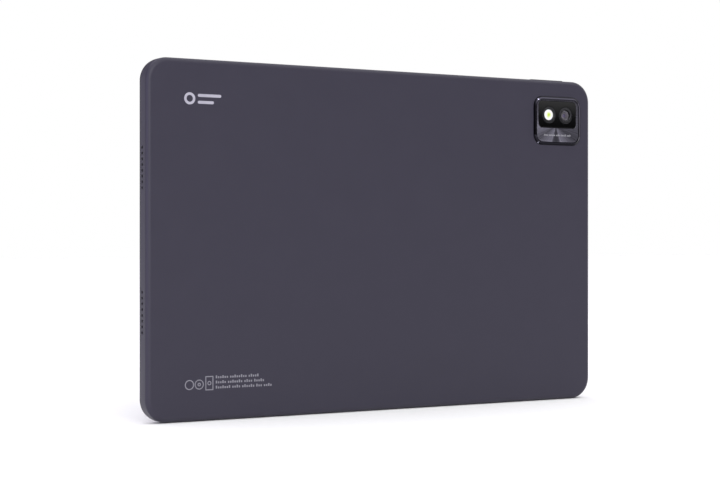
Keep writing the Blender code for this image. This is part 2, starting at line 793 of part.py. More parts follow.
def build():
    clear_scene()
    cover_paint = material("cover_paint", (0.062, 0.059, 0.078), 0.42, 0.35)
    black_plastic = material("black_plastic", (0.012, 0.012, 0.014), 0.45)
    black_glass = material("black_glass", (0.006, 0.006, 0.008), 0.06)
    clear_glass = material("clear_glass", (0.045, 0.040, 0.055), 0.05)
    polished_metal = material("polished_metal", (0.070, 0.068, 0.090), 0.16, 1.0)
    spun_metal = material("spun_metal", (0.120, 0.118, 0.140), 0.30, 1.0)
    flash_plastic = material("flash_plastic", (0.85, 0.87, 0.72), 0.25)
    phosphor = material("phosphor", (0.80, 0.78, 0.12), 0.60)
    steel = material("steel", (0.45, 0.45, 0.46), 0.35, 1.0)
    dark_steel = material("dark_steel", (0.16, 0.16, 0.17), 0.45, 1.0)
    board_green = material("board_green", (0.015, 0.075, 0.045), 0.50)
    chip_black = material("chip_black", (0.020, 0.020, 0.022), 0.55)
    flex_amber = material("flex_amber", (0.30, 0.14, 0.03), 0.45)
    pouch_foil = material("pouch_foil", (0.10, 0.10, 0.11), 0.50)
    tape_foam = material("tape_foam", (0.020, 0.020, 0.020), 0.90)
    screen_film = material("screen_film", (0.015, 0.016, 0.020), 0.20)
    wire_jacket = material("wire_jacket", (0.025, 0.025, 0.028), 0.60)
    paper_cone = material("paper_cone", (0.050, 0.050, 0.055), 0.75)

    rear_cover(cover_paint)
    front_frame(black_plastic)
    front_glass(black_glass)
    glass_tape(tape_foam)
    screen(screen_film, steel)
    mid_plate(steel)
    camera_rim(polished_metal)
    camera_plate(spun_metal)
    camera_window(black_glass)
    optic_bezel("lens_bezel", LENS_X, black_plastic)
    optic_bezel("flash_bezel", FLASH_X, black_plastic)
    optic_disc("lens_glass", LENS_X, clear_glass, 0.05)
    optic_disc("flash_lens", FLASH_X, flash_plastic, 0.15)
    flash_unit(board_green, phosphor)
    rear_camera(chip_black, black_glass)
    power_button(cover_paint)
    volume_rocker(cover_paint)
    switches(steel, flex_amber)
    usb_port(steel, chip_black)
    headphone_jack(black_plastic)
    card_slot(steel, cover_paint)
    main_board(board_green)
    board_parts(steel, chip_black, steel)
    battery(pouch_foil, board_green, flex_amber)
    for name, z in speaker_centres().items():
        speaker(name, z, black_plastic, paper_cone, dark_steel, dark_steel)
        screw(f"speaker_screw_{name}", EAR_X, z, EAR_Y[1] + GAP, steel)
    speaker_leads(wire_jacket)
    small_parts(chip_black, flex_amber, flex_amber)
    for number, (x, z) in enumerate(BOARD_SCREWS, 1):
        screw(f"board_screw_{number}", x, z, BOARD_Y[1] + GAP, steel)


build()
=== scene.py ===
import json
import math

import bmesh
import bpy
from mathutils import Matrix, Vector


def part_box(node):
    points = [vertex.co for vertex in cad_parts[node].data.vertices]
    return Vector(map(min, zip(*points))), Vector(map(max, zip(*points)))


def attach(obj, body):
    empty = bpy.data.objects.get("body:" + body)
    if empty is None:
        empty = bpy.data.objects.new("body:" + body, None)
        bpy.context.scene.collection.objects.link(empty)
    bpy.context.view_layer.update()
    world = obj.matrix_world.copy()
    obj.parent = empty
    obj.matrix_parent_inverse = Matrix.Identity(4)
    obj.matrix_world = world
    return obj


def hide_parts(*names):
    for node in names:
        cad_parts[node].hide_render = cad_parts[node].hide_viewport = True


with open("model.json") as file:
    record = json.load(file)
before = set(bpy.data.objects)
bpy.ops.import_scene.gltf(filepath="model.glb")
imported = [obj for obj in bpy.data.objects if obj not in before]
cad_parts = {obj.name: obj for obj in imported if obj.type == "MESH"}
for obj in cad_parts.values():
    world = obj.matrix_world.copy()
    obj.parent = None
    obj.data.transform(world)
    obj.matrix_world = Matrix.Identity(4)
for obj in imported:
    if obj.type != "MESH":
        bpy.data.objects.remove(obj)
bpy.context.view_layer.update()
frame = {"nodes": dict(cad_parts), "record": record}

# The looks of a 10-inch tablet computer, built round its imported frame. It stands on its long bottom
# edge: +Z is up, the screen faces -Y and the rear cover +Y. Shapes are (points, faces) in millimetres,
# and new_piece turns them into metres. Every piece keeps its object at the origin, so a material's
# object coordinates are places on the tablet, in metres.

MM = 0.001


def box(node):
    """A CAD node's lowest and highest corner."""
    low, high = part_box(node)
    return low / MM, high / MM


def middle(node):
    low, high = box(node)
    return (low + high) / 2


def extent(node):
    low, high = box(node)
    return high - low


# Places and sizes that the frame holds
COVER_LOW, COVER_HIGH = box("rear_cover")
WIDTH, HEIGHT = extent("rear_cover").x, extent("rear_cover").z
SIDE_X, MID_Z = COVER_HIGH.x, COVER_HIGH.z / 2
REAR_Y, WALL_FRONT_Y = COVER_HIGH.y, COVER_LOW.y
FRONT_Y = box("front_glass")[0].y
GLASS_BACK_Y = box("front_glass")[1].y
BUMP, BUMP_SIZE, BUMP_TOP_Y = middle("camera_rim"), extent("camera_rim"), box("camera_rim")[1].y
WINDOW, WINDOW_SIZE = middle("camera_window"), extent("camera_window")
LENS, FLASH = middle("lens_glass"), middle("flash_lens")
SCREEN, SCREEN_SIZE = middle("lcd_panel"), extent("lcd_panel")
SELFIE = middle("front_camera")

# Cover and front frame: radii, walls, and where their edges lie (an INSET is inside the outline)
CORNER_R = 10.2
EDGE_R = 2.2
WALL = 1.3
BACK = 1.0
INNER_EDGE_R = 1.2
WALL_LIP_R = 0.3
FRAME_INSET = 0.1
FRAME_STEP_Y = -2.1
FRAME_STEP_INSET = 3.0
LEDGE_Y = GLASS_BACK_Y + 0.4
LEDGE_BACK_Y = LEDGE_Y + 0.4
LEDGE_INSET = 6.2
GLASS_INSET = (WIDTH - extent("front_glass").x) / 2
LIP_INSET = GLASS_INSET - 0.2

# Camera bump: its radii, and how far its chamfer, level band and collar lie inside its outline
BUMP_CORNER_R = 5.2
BUMP_CHAMFER = 1.2
BUMP_PLATEAU = 1.5
COLLAR = (0.8, 2.3)
WINDOW_R = 1.9
BEZEL_R = 4.2
OPTIC_R = 2.85
BARREL_R = 3.0
EYE_R = 1.3

# Speaker holes: CLOTH_BELOW is how far a cloth's lowest Y lies under its row's
HOLE_R = 0.7
HOLE_PITCH = 2.5
HOLES = 8
CLOTH_BELOW = 0.5

# Keys: caps, the flanges that hold them in, and the nubs that press their switches
KEY_WIDTH = 2.0
POWER_LENGTH = 12.0
ROCKER_LENGTH = 20.2
FLANGE = 0.35
NUB_R = 0.5
ROCKER_NUB = 8.0

# Openings through the walls: CUT_PAST is how far a cutter goes past a wall's inner face
USB_SIZE = (3.16, 8.94)
USB_WALL = 0.3
USB_SLOT = (3.76, 9.54)
JACK_R = 1.85
TRAY_SLOT = (2.3, 15.4)
POWER_SLOT = (2.5, 12.5)
ROCKER_SLOT = (20.8, 2.5)
MIC_R = 0.45
FLARE = 0.08
CUT_PAST = 0.6

# The card tray's bays, from its face: (near end, far end, half their height)
TRAY_BAYS = ((2.6, 17.9, 5.6), (18.9, 28.2, 6.2))

# How far a mark reaches into its face, and out of it
MARK_SUNK = 0.05
MARK_PROUD = 0.012

# How finely round stretches are divided, and the angle over which an edge stays sharp, in degrees
CORNER_STEPS = 20
FILLET_STEPS = 12
ROUND = 64
SHARP_OVER = 32


# ---- outlines and shapes ----


def rounded_rect(width, height, radius, steps=CORNER_STEPS):
    """Points round a rounded rectangle about (0, 0), counter-clockwise from its +x side."""
    radius = min(max(radius, 0.02), width / 2 - 0.001, height / 2 - 0.001)
    points = []
    for quarter, (sx, sz) in enumerate(((1, 1), (-1, 1), (-1, -1), (1, -1))):
        for k in range(steps + 1):
            angle = math.radians(90 * (quarter + k / steps))
            x = sx * (width / 2 - radius) + radius * math.cos(angle)
            z = sz * (height / 2 - radius) + radius * math.sin(angle)
            points.append((x, z))
    return points


def stadium(width, length, steps=8):
    """A slot's outline, with half-round ends on its longer side."""
    return rounded_rect(width, length, min(width, length) / 2, steps)


def circle(radius, count=ROUND):
    turns = [2 * math.pi * k / count for k in range(count)]
    return [(radius * math.cos(a), radius * math.sin(a)) for a in turns]


def ring_on(axis, outline, centre, depth):
    """An outline placed square to an axis: centre is its two other coordinates, in X, Y, Z order."""
    first, second = centre
    if axis == "X":
        return [(depth, first + a, second + b) for a, b in outline]
    if axis == "Y":
        return [(first + a, depth, second + b) for a, b in outline]
    return [(first + a, second + b, depth) for a, b in outline]


def loft(rings, hollow=False):
    """Skins a row of rings. A hollow one joins the last ring to the first, and any other is capped."""
    count = len(rings[0])
    points = [point for ring in rings for point in ring]
    faces = []
    for k in range(len(rings) if hollow else len(rings) - 1):
        low = k * count
        high = (k + 1) % len(rings) * count
        for i in range(count):
            j = (i + 1) % count
            faces.append((low + i, low + j, high + j, high + i))
    if not hollow:
        faces.append(tuple(range(count)))
        faces.append(tuple(range(len(points) - count, len(points))))
    return points, faces


def prism(axis, outline, centre, low, high):
    return loft([ring_on(axis, outline, centre, low), ring_on(axis, outline, centre, high)])


def turned(axis, profile, centre, hollow=False, count=ROUND):
    """A profile of (radius, depth) points turned round an axis."""
    return loft([ring_on(axis, circle(r, count), centre, d) for r, d in profile], hollow)


def eased(profile, steps=4):
    """A profile of (a, b, ease) points, with each corner rounded off over its ease."""
    points = []
    for k, (a, b, ease) in enumerate(profile):
        here = Vector((a, b))
        if not ease:
            points.append((a, b))
            continue
        before = Vector(profile[k - 1][:2])
        after = Vector(profile[(k + 1) % len(profile)][:2])
        start = here + (before - here).normalized() * ease
        end = here + (after - here).normalized() * ease
        for s in range(steps + 1):
            t = s / steps
            points.append(tuple(start.lerp(here, t).lerp(here.lerp(end, t), t)))
    return points


def inset_rings(size, radius, centre, profile):
    """Rounded rectangles facing Y, each drawn in from a size by a profile's (inset, y)."""
    rings = []
    for inset, y in profile:
        outline = rounded_rect(size[0] - 2 * inset, size[1] - 2 * inset, radius - inset)
        rings.append(ring_on("Y", outline, centre, y))
    return rings


def body_rings(profile):
    """The tablet's own outline, drawn in by a profile."""
    return inset_rings((WIDTH, HEIGHT), CORNER_R, (0, MID_Z), profile)


def bump_rings(profile):
    """The camera bump's outline, drawn in by a profile."""
    return inset_rings((BUMP_SIZE.x, BUMP_SIZE.z), BUMP_CORNER_R, (BUMP.x, BUMP.z), profile)


def window_outline(grow):
    """The camera window's outline, grown by a number."""
    return rounded_rect(WINDOW_SIZE.x + 2 * grow, WINDOW_SIZE.z + 2 * grow, WINDOW_R + grow, 10)


def block(x, y, z):
    """A box between two values on each axis."""
    outline = [(x[0], z[0]), (x[1], z[0]), (x[1], z[1]), (x[0], z[1])]
    return prism("Y", outline, (0, 0), *y)


def together(*shapes):
    points, faces = [], []
    for more_points, more_faces in shapes:
        start = len(points)
        points += more_points
        faces += [tuple(start + i for i in face) for face in more_faces]
    return points, faces


def flared(axis, outline_of, centre, inner, surface):
    """A cutter through a wall, opening at 45 degrees over the last FLARE before its outer surface.

    outline_of gives the opening's outline when grown by a number.
    """
    outwards = 1 if surface > inner else -1
    beyond = 0.3
    steps = ((0, inner), (0, surface - outwards * FLARE), (FLARE + beyond, surface + outwards * beyond))
    return loft([ring_on(axis, outline_of(grow), centre, depth) for grow, depth in steps])


# ---- pieces ----


def shade(mesh):
    mesh.shade_smooth()
    mesh.set_sharp_from_angle(angle=math.radians(SHARP_OVER))


def loose_object(name, shape):
    """An object with its faces pointing out, from a shape."""
    points, faces = shape
    mesh = bpy.data.meshes.new(name)
    mesh.from_pydata([Vector(p) * MM for p in points], [], faces)
    work = bmesh.new()
    work.from_mesh(mesh)
    bmesh.ops.recalc_face_normals(work, faces=work.faces)
    work.to_mesh(mesh)
    work.free()
    shade(mesh)
    made = bpy.data.objects.new(name, mesh)
    bpy.context.scene.collection.objects.link(made)
    return made


def new_piece(name, shape, finish, nodes=(), body="housing"):
    """A finished piece that rides on a body and stands for CAD nodes."""
    piece = loose_object(name, shape)
    piece.data.materials.append(finish)
    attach(piece, body)
    if nodes:
        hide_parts(*nodes)
    return piece


def carve(piece, *shapes, operation="DIFFERENCE"):
    """Cuts shapes from a piece, or joins them on, for good."""
    tool = loose_object("tool", together(*shapes))
    modifier = piece.modifiers.new("carve", "BOOLEAN")
    modifier.operation = operation
    modifier.solver = "EXACT"
    modifier.object = tool
    bpy.context.view_layer.update()
    graph = bpy.context.evaluated_depsgraph_get()
    carved = bpy.data.meshes.new_from_object(piece.evaluated_get(graph), depsgraph=graph)
    piece.modifiers.clear()
    before = piece.data
    piece.data = carved
    shade(carved)
    bpy.data.meshes.remove(before)
    bpy.data.objects.remove(tool)


# ---- material nodes ----


def feed(tree, socket, value):
    """Gives a socket a constant, or links another node's output to it."""
    if isinstance(value, bpy.types.NodeSocket):
        tree.links.new(value, socket)
    else:
        socket.default_value = value


def node(tree, kind, inputs=None, **settings):
    made = tree.nodes.new(f"ShaderNode{kind}")
    for key, value in settings.items():
        setattr(made, key, value)
    for key, value in (inputs or {}).items():
        feed(tree, made.inputs[key], value)
    return made


def maths(tree, operation, *values):
    made = node(tree, "Math", operation=operation)
    for socket, value in zip(made.inputs, values):
        feed(tree, socket, value)
    return made.outputs[0]


def span(tree, value, low, high, to_low, to_high):
    """A value's stretch from low to high, carried to another stretch and held at its ends."""
    inputs = {"Value": value, "From Min": low, "From Max": high, "To Min": to_low, "To Max": to_high}
    return node(tree, "MapRange", inputs).outputs[0]


def ramp(tree, value, stops):
    """Colours along a value from 0 to 1: stops are (position, colour)."""
    made = node(tree, "ValToRGB", {"Fac": value})
    elements = made.color_ramp.elements
    while len(elements) < len(stops):
        elements.new(0.5)
    for element, (position, colour) in zip(elements, stops):
        element.position = position
        element.color = (*colour, 1.0)
    return made.outputs[0]


def blend(tree, kind, factor, first, second):
    """Two colours put together by a blend type."""
    made = node(tree, "Mix", data_type="RGBA", blend_type=kind)
    feed(tree, made.inputs[0], factor)
    feed(tree, made.inputs[6], first)
    feed(tree, made.inputs[7], second)
    return made.outputs[2]


def place(tree, about=(0, 0, 0), stretch=(1, 1, 1)):
    """Places on the tablet in metres, measured from a point in millimetres, and stretched."""
    found = node(tree, "TexCoord").outputs["Object"]
    start = [value * MM for value in about]
    moved = node(tree, "VectorMath", {0: found, 1: start}, operation="SUBTRACT").outputs[0]
    return node(tree, "VectorMath", {0: moved, 1: stretch}, operation="MULTIPLY").outputs[0]


def parts_of(tree, vector):
    return node(tree, "SeparateXYZ", {0: vector}).outputs


def noise(tree, where, grain, detail=2.0):
    """Noise with patches about a grain across, in millimetres."""
    inputs = {"Vector": where, "Scale": 1 / (grain * MM), "Detail": detail}
    return node(tree, "TexNoise", inputs).outputs[0]


def relief(tree, shader, height, depth):
    """A bump whose height of 1 stands out by a depth, in millimetres."""
    bump = node(tree, "Bump", {"Height": height, "Distance": depth * MM, "Strength": 1.0})
    feed(tree, shader.inputs["Normal"], bump.outputs[0])


def blank(name, metallic=0.0, more=None):
    """A new material: (material, node tree, its shader)."""
    made = bpy.data.materials.new(name)
    made.use_nodes = True
    tree = made.node_tree
    shader = tree.nodes["Principled BSDF"]
    shader.inputs["Metallic"].default_value = metallic
    for key, value in (more or {}).items():
        shader.inputs[key].default_value = value
    return made, tree, shader


def grainy(name, tones, gloss, grain, metallic=0.0, depth=0.0, stretch=(1, 1, 1), more=None):
    """Tone and roughness that wander between two values over a grain, with a fine relief."""
    made, tree, shader = blank(name, metallic, more)
    where = place(tree, stretch=stretch)
    fine = noise(tree, where, grain)
    broad = noise(tree, where, grain * 30)
    mixed = maths(tree, "MULTIPLY_ADD", fine, 0.65, maths(tree, "MULTIPLY", broad, 0.35))
    feed(tree, shader.inputs["Base Color"], ramp(tree, mixed, [(0.35, tones[0]), (0.65, tones[1])]))
    feed(tree, shader.inputs["Roughness"], span(tree, mixed, 0.35, 0.65, *gloss))
    if depth:
        relief(tree, shader, fine, depth)
    return made


# ---- the materials ----


def rim_metal_painted_reflection():
    """Polished metal with painted reflection, black at its foot and greyer at its top edge, and painted
    shade towards its lower edge.
    """
    made, tree, shader = blank("rim_metal_painted_reflection", 1.0)
    where = place(tree, (0, REAR_Y, BUMP.z))
    _, y, z = parts_of(tree, where)
    # Painted reflection: black at the rim's foot, greyer towards its top edge.
    rise = span(tree, y, 0.45 * MM, 0.9 * MM, 0.0, 1.0)
    # Painted shade: darker towards the lower edge of the bump.
    upper = span(tree, z, -BUMP_SIZE.z / 2 * MM, BUMP_SIZE.z / 2 * MM, 0.1, 1.0)
    share = maths(tree, "MULTIPLY", rise, upper)
    tones = [(0.0, (0.007, 0.007, 0.009)), (1.0, (0.082, 0.077, 0.104))]
    feed(tree, shader.inputs["Base Color"], ramp(tree, share, tones))
    feed(tree, shader.inputs["Roughness"], span(tree, noise(tree, where, 0.6), 0.3, 0.7, 0.09, 0.13))
    return made


def spun_metal_painted_highlight():
    """Dark spun plate with a painted highlight: a fan of bright wedges round a dark V about the foot of the
    camera window, over fine streaks.
    """
    about = (WINDOW.x + 1.0, 0, WINDOW.z - WINDOW_SIZE.z / 2 + 0.8)
    made, tree, shader = blank("spun_plate_painted_highlight", 1.0, {"Anisotropic": 0.5})
    x, _, z = parts_of(tree, place(tree, about))
    turn = maths(tree, "ARCTAN2", x, maths(tree, "MULTIPLY", z, -1.0))
    share = maths(tree, "MULTIPLY_ADD", turn, 0.5 / math.pi, 0.5)
    # Painted highlight and reflection: bright wedges either side of a dark V, and paler bands further
    # round.
    steps = (
        (0.0, 0.10),
        (0.25, 0.15),
        (0.33, 0.10),
        (0.385, 0.24),
        (0.445, 0.38),
        (0.462, 0.12),
        (0.5, 0.09),
        (0.538, 0.12),
        (0.555, 0.38),
        (0.615, 0.28),
        (0.67, 0.14),
        (0.74, 0.36),
        (0.80, 0.18),
        (1.0, 0.10),
    )
    painted_highlight_fan = ramp(tree, share, [(at, (tone, 0.97 * tone, 1.2 * tone)) for at, tone in steps])
    # Streaks round the turn: partly the spinning's grain, partly painted sheen.
    streaks = node(tree, "TexNoise", {"W": turn, "Scale": 34.0, "Detail": 3.0}, noise_dimensions="1D")
    light = ramp(tree, streaks.outputs[0], [(0.3, (0.62, 0.62, 0.62)), (0.7, (1.0, 1.0, 1.0))])
    feed(tree, shader.inputs["Base Color"], blend(tree, "MULTIPLY", 1.0, painted_highlight_fan, light))
    feed(tree, shader.inputs["Roughness"], span(tree, streaks.outputs[0], 0.3, 0.7, 0.26, 0.38))
    round_it = node(tree, "CombineXYZ", {"X": maths(tree, "MULTIPLY", z, -1.0), "Z": x})
    feed(tree, shader.inputs["Tangent"], round_it.outputs[0])
    relief(tree, shader, streaks.outputs[0], 0.01)
    return made


def front_glass():
    """Cover glass over a black printed border, a faintly paler display and the front camera's eye."""
    made, tree, shader = blank("front_glass", 0.0, {"Specular IOR Level": 0.3})
    where = place(tree, (SCREEN.x, 0, SCREEN.z))
    x, _, z = parts_of(tree, where)
    past_x = maths(tree, "SUBTRACT", maths(tree, "ABSOLUTE", x), SCREEN_SIZE.x / 2 * MM)
    past_z = maths(tree, "SUBTRACT", maths(tree, "ABSOLUTE", z), SCREEN_SIZE.z / 2 * MM)
    past = maths(tree, "MAXIMUM", past_x, past_z)
    border = span(tree, past, -0.05 * MM, 0.05 * MM, 0.0, 1.0)
    tones = [(0.3, (0.0140, 0.0145, 0.0185)), (0.7, (0.0165, 0.0170, 0.0215))]
    panel = ramp(tree, noise(tree, where, 60.0), tones)
    ink = (0.0030, 0.0030, 0.0035, 1.0)
    face = blend(tree, "MIX", border, panel, ink)
    eye = node(tree, "VectorMath", {0: place(tree, (SELFIE.x, 0, SELFIE.z), (1, 0, 1))}, operation="LENGTH")
    share = maths(tree, "DIVIDE", eye.outputs[1], 2.0 * MM)
    lens = ramp(
        tree,
        share,
        [
            (0.0, (0.030, 0.034, 0.070)),
            (0.30, (0.006, 0.007, 0.020)),
            (0.58, (0.004, 0.004, 0.006)),
            (0.66, (0.045, 0.045, 0.050)),
            (0.80, (0.030, 0.030, 0.034)),
            (0.88, (0.003, 0.003, 0.0035)),
        ],
    )
    near = span(tree, share, 0.9, 0.92, 0.0, 1.0)
    feed(tree, shader.inputs["Base Color"], blend(tree, "MIX", near, lens, face))
    smudge = noise(tree, where, 35.0, 4.0)
    feed(tree, shader.inputs["Roughness"], span(tree, smudge, 0.35, 0.7, 0.045, 0.085))
    return made


def window_glass_painted_reflection():
    """Black glass, with a painted reflection that pales it towards its top edge."""
    made, tree, shader = blank("window_glass_painted_reflection", 0.0, {"IOR": 1.45, "Specular IOR Level": 0.12})
    where = place(tree, (0, 0, WINDOW.z))
    height = parts_of(tree, where)[2]
    share = span(tree, height, -WINDOW_SIZE.z / 2 * MM, WINDOW_SIZE.z / 2 * MM, 0.0, 1.0)
    # Painted reflection: near black at the foot, paler towards the top edge.
    tones = [(0.0, (0.0006, 0.0006, 0.0007)), (0.4, (0.003, 0.003, 0.0033)), (1.0, (0.022, 0.022, 0.022))]
    feed(tree, shader.inputs["Base Color"], ramp(tree, share, tones))
    feed(tree, shader.inputs["Roughness"], span(tree, noise(tree, where, 4.0), 0.3, 0.7, 0.04, 0.08))
    return made


def clear_glass():
    """A lens cover: clear, faintly violet, and glossy by its angle."""
    made, tree, shader = blank("lens_cover_glass")
    tree.nodes.remove(shader)
    radius = node(tree, "VectorMath", {0: place(tree, tuple(LENS), (1, 0, 1))}, operation="LENGTH")
    share = maths(tree, "DIVIDE", radius.outputs[1], OPTIC_R * MM)
    tones = [(0.0, (0.90, 0.87, 0.96)), (0.86, (0.94, 0.93, 0.97)), (0.90, (0.12, 0.12, 0.13))]
    tint = ramp(tree, share, tones)
    clear = node(tree, "BsdfTransparent", {"Color": tint})
    gloss = node(tree, "BsdfGlossy", {"Color": (0.94, 0.92, 1.0, 1.0), "Roughness": 0.03})
    mixed = node(tree, "MixShader", {0: node(tree, "Fresnel", {"IOR": 1.4}).outputs[0]})
    feed(tree, mixed.inputs[1], clear.outputs[0])
    feed(tree, mixed.inputs[2], gloss.outputs[0])
    feed(tree, tree.nodes["Material Output"].inputs["Surface"], mixed.outputs[0])
    return made


def lens_barrel():
    """Blackened barrel rings that pale outwards, about a coated violet eye."""
    made, tree, shader = blank("lens_barrel", 0.0, {"Coat Weight": 0.6, "Coat Roughness": 0.05})
    where = place(tree, tuple(LENS), (1, 0, 1))
    radius = node(tree, "VectorMath", {0: where}, operation="LENGTH").outputs[1]
    share = maths(tree, "DIVIDE", radius, BARREL_R * MM)
    tones = [
        (0.0, (0.28, 0.26, 0.38)),
        (0.08, (0.110, 0.104, 0.155)),
        (0.26, (0.088, 0.085, 0.104)),
        (0.42, (0.200, 0.200, 0.170)),
        (0.60, (0.115, 0.114, 0.104)),
        (0.80, (0.200, 0.199, 0.176)),
        (1.0, (0.080, 0.080, 0.080)),
    ]
    feed(tree, shader.inputs["Base Color"], ramp(tree, share, tones))
    feed(tree, shader.inputs["Roughness"], span(tree, noise(tree, where, 0.3), 0.3, 0.7, 0.18, 0.34))
    return made


def flash_plastic():
    """Milky lens with the phosphor's yellow-green showing through its middle."""
    made, tree, shader = blank("flash_lens", 0.0, {"Subsurface Weight": 0.15, "Subsurface Scale": 0.6 * MM})
    where = place(tree, tuple(FLASH), (1, 0, 1))
    radius = node(tree, "VectorMath", {0: where}, operation="LENGTH").outputs[1]
    wander = maths(tree, "MULTIPLY", maths(tree, "SUBTRACT", noise(tree, where, 0.7), 0.5), 0.5)
    share = maths(tree, "ADD", maths(tree, "DIVIDE", radius, OPTIC_R * MM), wander)
    tones = [
        (0.0, (0.40, 0.58, 0.04)),
        (0.22, (0.48, 0.62, 0.14)),
        (0.40, (0.66, 0.72, 0.46)),
        (0.58, (0.74, 0.75, 0.72)),
        (1.0, (0.72, 0.72, 0.73)),
    ]
    white = ramp(tree, share, tones)
    edge = span(tree, radius, (OPTIC_R - 0.27) * MM, (OPTIC_R - 0.22) * MM, 0.0, 1.0)
    printed = (0.012, 0.012, 0.014, 1.0)
    feed(tree, shader.inputs["Base Color"], blend(tree, "MIX", edge, white, printed))
    feed(tree, shader.inputs["Roughness"], span(tree, noise(tree, where, 0.4), 0.3, 0.7, 0.14, 0.24))
    return made


def circuit_board():
    """Green solder mask over copper tracks, with pale round lands."""
    made, tree, shader = blank("circuit_board", 0.0, {"Coat Weight": 0.4, "Coat Roughness": 0.2})
    where = place(tree)
    x, _, z = parts_of(tree, where)
    flat = node(tree, "CombineXYZ", {"X": x, "Y": z}).outputs[0]
    bricks = {"Vector": flat, "Scale": 160.0, "Mortar Size": 0.035, "Brick Width": 1.3}
    tracks = node(tree, "TexBrick", bricks)
    tones = [(0.4, (0.008, 0.050, 0.030)), (0.6, (0.012, 0.075, 0.044))]
    masked = ramp(tree, noise(tree, where, 6.0), tones)
    copper = blend(tree, "MIX", tracks.outputs["Fac"], masked, (0.030, 0.150, 0.070, 1.0))
    dots = node(tree, "TexVoronoi", {"Vector": flat, "Scale": 330.0})
    land = span(tree, dots.outputs["Distance"], 0.13, 0.16, 1.0, 0.0)
    feed(tree, shader.inputs["Base Color"], blend(tree, "MIX", land, copper, (0.55, 0.52, 0.40, 1.0)))
    feed(tree, shader.inputs["Roughness"], span(tree, land, 0.0, 1.0, 0.42, 0.25))
    relief(tree, shader, maths(tree, "ADD", tracks.outputs["Fac"], land), 0.02)
    return made


def woven_steel():
    """A fine wire cloth behind the grilles, near black, with painted shade darkening the troughs of its
    weave.
    """
    made, tree, shader = blank("speaker_cloth", 1.0)
    turns = 2 * math.pi / (0.22 * MM)
    _, y, z = parts_of(tree, place(tree, stretch=(1, turns, turns)))
    waves = maths(tree, "MULTIPLY", maths(tree, "SINE", y), maths(tree, "SINE", z))
    height = span(tree, waves, -1.0, 1.0, 0.0, 1.0)
    # Painted shade: the troughs of the weave darker than its crests.
    tones = [(0.2, (0.004, 0.004, 0.005)), (0.8, (0.04, 0.04, 0.045))]
    feed(tree, shader.inputs["Base Color"], ramp(tree, height, tones))
    feed(tree, shader.inputs["Roughness"], span(tree, height, 0.0, 1.0, 0.6, 0.35))
    relief(tree, shader, height, 0.03)
    return made


def pouch_foil():
    """Crinkled laminate round the battery cells."""
    made, tree, shader = blank("pouch_foil", 0.75)
    where = place(tree, stretch=(1, 1, 0.6))
    folds = node(tree, "TexVoronoi", {"Vector": where, "Scale": 130.0}, feature="DISTANCE_TO_EDGE")
    crease = span(tree, folds.outputs["Distance"], 0.0, 0.12, 0.0, 1.0)
    fine = noise(tree, where, 1.2, 5.0)
    tones = [(0.35, (0.16, 0.16, 0.17)), (0.65, (0.24, 0.24, 0.25))]
    feed(tree, shader.inputs["Base Color"], ramp(tree, fine, tones))
    feed(tree, shader.inputs["Roughness"], span(tree, fine, 0.3, 0.7, 0.34, 0.52))
    relief(tree, shader, maths(tree, "ADD", crease, fine), 0.06)
    return made


COVER_TONES = ((0.0310, 0.0287, 0.0432), (0.0330, 0.0305, 0.0458))
SATIN = {"Specular IOR Level": 0.22}
paint = grainy("cover_paint", COVER_TONES, (0.38, 0.44), 0.35, depth=0.003, more=SATIN)
# The keys' paint: the cover's paint at about six tenths of its tone, a painted shade that darkens the keys.
KEY_TONES_PAINTED_SHADE = ((0.0180, 0.0168, 0.0250), (0.0200, 0.0186, 0.0275))
key_paint_painted_shade = grainy("key_paint_painted_shade", KEY_TONES_PAINTED_SHADE, (0.30, 0.36), 0.35, depth=0.002, more=SATIN)
black_plastic = grainy(
    "black_plastic", ((0.010, 0.010, 0.012), (0.016, 0.016, 0.018)), (0.34, 0.44), 0.25, depth=0.004
)
steel = grainy(
    "steel", ((0.40, 0.40, 0.41), (0.52, 0.52, 0.53)), (0.28, 0.42), 0.12, 1.0, 0.002, (0.06, 1, 1)
)
dark_steel = grainy(
    "dark_steel", ((0.10, 0.10, 0.11), (0.17, 0.17, 0.18)), (0.38, 0.5), 0.2, 1.0, 0.003
)
gold = grainy("gold", ((0.78, 0.55, 0.22), (0.88, 0.64, 0.28)), (0.2, 0.3), 0.2, 1.0)
chip_black = grainy(
    "chip_black", ((0.014, 0.014, 0.015), (0.026, 0.026, 0.028)), (0.5, 0.62), 0.15, depth=0.006
)
flex_amber = grainy(
    "flex_amber", ((0.26, 0.11, 0.02), (0.38, 0.18, 0.04)), (0.3, 0.42), 0.8, stretch=(0.3, 1, 1)
)
phosphor = grainy("phosphor", ((0.72, 0.68, 0.06), (0.86, 0.84, 0.16)), (0.55, 0.7), 0.12, depth=0.01)
foam = grainy(
    "tape_foam", ((0.012, 0.012, 0.012), (0.030, 0.030, 0.030)), (0.85, 0.95), 0.2, depth=0.03
)
film = grainy("screen_film", ((0.012, 0.013, 0.017), (0.019, 0.020, 0.026)), (0.14, 0.24), 3.0)
jacket = grainy(
    "wire_jacket", ((0.018, 0.018, 0.020), (0.034, 0.034, 0.038)), (0.5, 0.65), 0.3, depth=0.004
)
cone_film = grainy(
    "cone_film", ((0.035, 0.035, 0.039), (0.060, 0.060, 0.066)), (0.65, 0.8), 0.2, depth=0.02
)
bezel_black = grainy(
    "bezel_black", ((0.022, 0.022, 0.024), (0.036, 0.036, 0.040)), (0.18, 0.28), 0.2, 0.8
)
mark_ink = grainy("mark_ink", ((0.31, 0.30, 0.36), (0.37, 0.36, 0.42)), (0.34, 0.46), 0.2)
print_ink = grainy("print_ink", ((0.160, 0.156, 0.182), (0.210, 0.203, 0.240)), (0.42, 0.55), 0.15)
plate_ink = grainy("plate_ink", ((0.21, 0.21, 0.23), (0.27, 0.27, 0.29)), (0.4, 0.5), 0.15)

